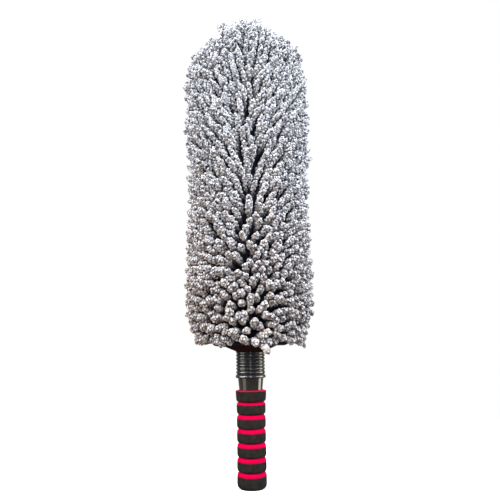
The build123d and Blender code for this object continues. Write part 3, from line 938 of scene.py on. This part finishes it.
def dress_nodes():
    """The hard pieces, which keep their CAD shapes."""
    nylon = matt_plastic("nylon", (0.62, 0.61, 0.56), (0.70, 0.69, 0.64), 0.42)
    moulded = matt_plastic("moulded_black", (0.015, 0.015, 0.016), (0.028, 0.028, 0.030), 0.5)
    framed = matt_plastic("frame_black", (0.018, 0.018, 0.020), (0.035, 0.035, 0.037), 0.55)
    dress(glossy_plastic("neck_gloss", (0.010, 0.0092, 0.0085), 0.07), "handle_core")
    dress(glossy_plastic("collar_gloss", (0.012, 0.0125, 0.012), 0.11), "ribbed_collar")
    dress(drawn_steel("pole_steel", 0.22), "pole")
    dress(drawn_steel("fastener_steel", 0.30), "pole_pin", "frame_screws")
    dress(nylon, "pole_bush", "collet", "clamp_washer")
    dress(moulded, "head_spine", "spine_cap")
    dress(framed, "head_frame", "end_plug")
    dress(rubber(), "wiper_ring")
    dress(mouth_fabric(), "mouth_elastic")


# ---- studio ------------------------------------------------------------------------------------------
CAMERA_HEIGHT = 0.166
CAMERA_ASIDE = 0.0015
CAMERA_DISTANCE = 0.592
CAMERA_TILT = 12.0
CAMERA_ROLL = -0.85
CAMERA_LENS = 32.6
FLOOR_RADIUS = 2.0
FLOOR_CORNERS = 64
FLOOR_FADE = (0.25, 0.75)  # radii between which the floor turns clear


def set_camera():
    """A low camera in front, tilted up at the head."""
    data = bpy.data.cameras.new("camera")
    data.lens = CAMERA_LENS
    data.sensor_width = 36.0
    data.clip_start = 0.01
    data.clip_end = 50.0
    camera = bpy.data.objects.new("camera", data)
    place = Matrix.Translation((CAMERA_ASIDE, -CAMERA_DISTANCE, CAMERA_HEIGHT))
    tilt = Matrix.Rotation(math.radians(90 + CAMERA_TILT), 4, "X")
    roll = Matrix.Rotation(math.radians(CAMERA_ROLL), 4, "Z")
    camera.matrix_world = place @ tilt @ roll
    bpy.context.scene.collection.objects.link(camera)
    bpy.context.scene.camera = camera


def set_floor():
    """A pale round floor under the grip that fades out into the white surround."""
    mesh = bpy.data.meshes.new("floor")
    corners = ring(FLOOR_RADIUS, all_round(FLOOR_CORNERS), 0.0)
    mesh.from_pydata(corners, [], [tuple(range(FLOOR_CORNERS))])
    n = Nodes("floor_paper")
    n.colour(n.blend(n.spread(n.noise(0.4), 0.3, 0.7), (0.90, 0.90, 0.90), (0.92, 0.92, 0.92)))
    n.set(Roughness=0.9, Specular_IOR_Level=0.1)
    reach = n.add("ShaderNodeVectorMath", operation="LENGTH")
    n.link(n.place(), reach.inputs[0])
    clear = n.add("ShaderNodeBsdfTransparent")
    mix = n.add("ShaderNodeMixShader")
    n.link(n.spread(reach.outputs["Value"], *FLOOR_FADE), mix.inputs[0])
    n.link(n.shader.outputs[0], mix.inputs[1])
    n.link(clear.outputs[0], mix.inputs[2])
    n.link(mix.outputs[0], n.tree.nodes["Material Output"].inputs["Surface"])
    mesh.materials.append(n.material)
    floor = bpy.data.objects.new("floor", mesh)
    floor.visible_glossy = False
    floor.visible_diffuse = False
    floor.visible_shadow = False
    bpy.context.scene.collection.objects.link(floor)


def graded(tree, background, height, low, high):
    """Colours a background by height, between two stops that are each a place and a colour."""
    ramp = tree.nodes.new("ShaderNodeValToRGB")
    for stop, (place, colour) in zip(ramp.color_ramp.elements, (low, high)):
        stop.position = place
        stop.color = (*colour, 1)
    tree.links.new(height, ramp.inputs["Fac"])
    tree.links.new(ramp.outputs["Color"], background.inputs["Color"])


def split_rays(tree, flag, others, flagged):
    """One shader for the rays that a light path flag names, and another for the rest."""
    path = tree.nodes.new("ShaderNodeLightPath")
    mix = tree.nodes.new("ShaderNodeMixShader")
    tree.links.new(path.outputs[flag], mix.inputs[0])
    tree.links.new(others, mix.inputs[1])
    tree.links.new(flagged, mix.inputs[2])
    return mix.outputs[0]


def set_world():
    """White to look at; as light, cool above and dimmer below; in glossy surfaces, a dim warm studio."""
    world = bpy.data.worlds.new("surround")
    world.use_nodes = True
    bpy.context.scene.world = world
    tree = world.node_tree
    place = tree.nodes.new("ShaderNodeTexCoord")
    split = tree.nodes.new("ShaderNodeSeparateXYZ")
    share = tree.nodes.new("ShaderNodeMapRange")
    share.inputs["From Min"].default_value = -1.0
    tree.links.new(place.outputs["Generated"], split.inputs[0])
    tree.links.new(split.outputs["Z"], share.inputs["Value"])
    height = share.outputs["Result"]
    daylight = tree.nodes["Background"]
    daylight.inputs["Strength"].default_value = 0.80
    graded(tree, daylight, height, (0.36, (0.31, 0.31, 0.34)), (0.72, (0.78, 0.88, 1.0)))
    studio = tree.nodes.new("ShaderNodeBackground")
    graded(tree, studio, height, (0.26, (0.05, 0.042, 0.036)), (0.44, (0.42, 0.40, 0.37)))
    white = tree.nodes.new("ShaderNodeBackground")
    white.inputs["Color"].default_value = (1, 1, 1, 1)
    light = split_rays(tree, "Is Glossy Ray", daylight.outputs[0], studio.outputs[0])
    surround = split_rays(tree, "Is Camera Ray", light, white.outputs[0])
    tree.links.new(surround, tree.nodes["World Output"].inputs["Surface"])


def softbox(name, place, target, size, power, colour, lights="all", spread=180):
    """A rectangular area light aimed at a point. It lights all, or only cloth, or only glossy surfaces."""
    data = bpy.data.lights.new(name, "AREA")
    data.shape = "RECTANGLE"
    data.size, data.size_y = size
    data.energy = power
    data.color = colour
    data.spread = math.radians(spread)
    light = bpy.data.objects.new(name, data)
    light.location = place
    light.visible_diffuse = lights != "gloss"
    light.visible_glossy = lights != "cloth"
    light.visible_camera = False
    aim = light.location.copy()
    aim.x, aim.y, aim.z = target
    light.rotation_euler = (aim - light.location).to_track_quat("-Z", "Y").to_euler()
    bpy.context.scene.collection.objects.link(light)


def set_lights():
    """Soft light on the head from all round, and the strips that the neck and collar reflect."""
    head = (0, 0, 0.50)
    middle = (0, 0, 0.42)
    hem = (0.05, 0, 0.26)
    foot = (0, 0, 0.22)
    grip = (0, 0, 0.14)
    softbox("front_fill", (0.25, -0.95, 1.28), head, (1.1, 0.8), 28, (0.90, 0.95, 1.0), "cloth")
    softbox("key_left", (-0.80, -0.80, 1.20), head, (0.7, 0.7), 17, (1.0, 0.99, 0.96))
    softbox("side_right", (1.4, -0.45, 0.95), middle, (1.1, 1.2), 24, (0.90, 0.925, 1.0))
    softbox("side_left", (-1.4, -0.5, 1.1), head, (1.1, 1.2), 22, (0.98, 0.98, 1.0))
    softbox("back_rim", (0.3, 1.6, 1.4), head, (1.2, 1.2), 34, (0.95, 0.97, 1.0))
    softbox("warm_low", (-0.40, -0.42, 0.05), foot, (0.25, 0.15), 0.2, (1.0, 0.68, 0.44), "cloth", 70)
    softbox("fill_right", (0.75, -0.60, 0.42), hem, (0.3, 0.3), 0.4, (0.96, 0.97, 1.0), "cloth", 50)
    softbox("window_right", (1.30, 0.12, 0.25), grip, (0.75, 1.4), 24, (1.0, 0.90, 0.76), "gloss")
    softbox("panel_right", (1.05, -0.75, 0.75), grip, (0.7, 1.3), 4, (1.0, 0.92, 0.84), "gloss")
    softbox("panel_left", (-1.20, -0.36, 0.65), grip, (1.0, 1.3), 24, (0.86, 0.96, 0.92), "gloss")
    softbox("panel_low", (-1.00, -0.50, -0.14), grip, (0.7, 0.4), 1.8, (1.0, 0.80, 0.62), "gloss")
    softbox("lamp_front", (0.0, -0.85, 0.50), grip, (0.07, 0.7), 6.0, (0.70, 0.82, 1.0), "gloss")


set_camera()
bpy.context.scene.view_settings.view_transform = "Standard"
set_floor()
set_world()
set_lights()
foam_bands(foam("black_foam", (0.0110, 0.0092, 0.0080), (0.0192, 0.0162, 0.0142), 0.45 * MM, 0.06))
foam_core(foam("red_foam", (0.43, 0.0, 0.032), (0.50, 0.0002, 0.042), 0.5 * MM, 0.015))
dress_nodes()
sleeve_cloth(backing_fabric())
mouth_cloth(mouth_fabric())
sponge_pads(sponge())
tuft_panels(chenille())
